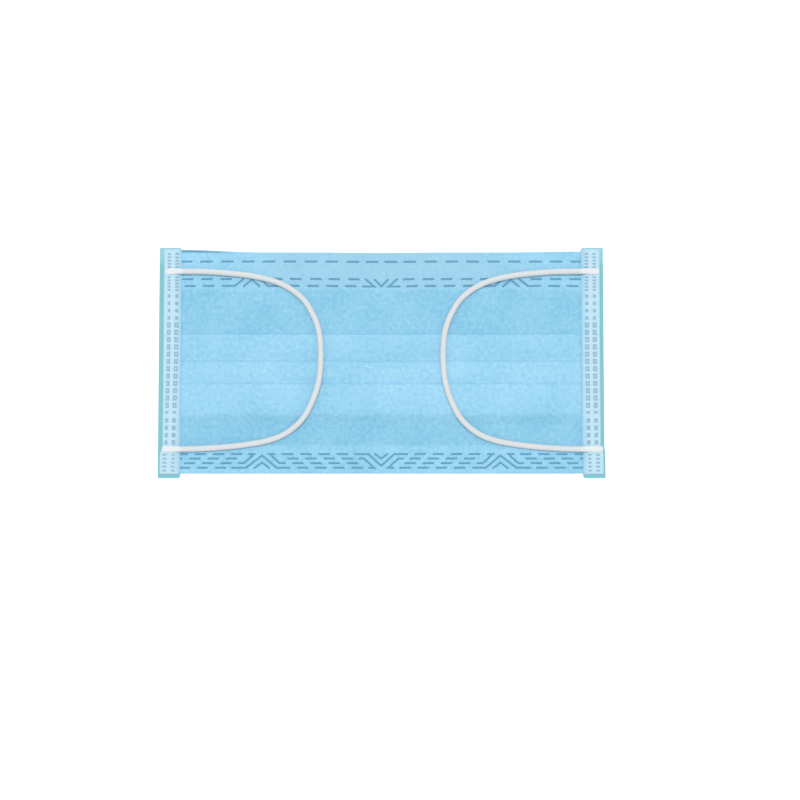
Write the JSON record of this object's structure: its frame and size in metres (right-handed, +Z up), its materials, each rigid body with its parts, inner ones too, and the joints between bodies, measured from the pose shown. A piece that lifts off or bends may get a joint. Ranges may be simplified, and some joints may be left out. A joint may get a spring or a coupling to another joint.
{
  "type": "surgical face mask",
  "caption": "Pleated disposable face mask lying flat, outer face up, with bound sides and round elastic ear loops laid in over it.",
  "frame": {"origin": "middle of the underside that the mask lies on", "axes": "+X across the mask, +Y towards its nose edge, +Z up out of its outer face"},
  "size_m": [0.175, 0.0908, 0.0069],
  "materials": {
    "outer_cloth": "matt light blue spunbond nonwoven with rows of pressed weld marks",
    "side_binding": "matt pale blue nonwoven tape with two columns of pressed weld marks",
    "elastic": "soft white knitted elastic, flattened and fused at its ends"
  },
  "bodies": {
    "root": {"pleated_panel": "outer_cloth", "side_strip_left": "side_binding", "side_strip_right": "side_binding", "ear_loop_left": "elastic", "ear_loop_right": "elastic", "loop_weld_left_nose": "elastic", "loop_weld_left_chin": "elastic", "loop_weld_right_nose": "elastic", "loop_weld_right_chin": "elastic"}
  },
  "joints": []
}
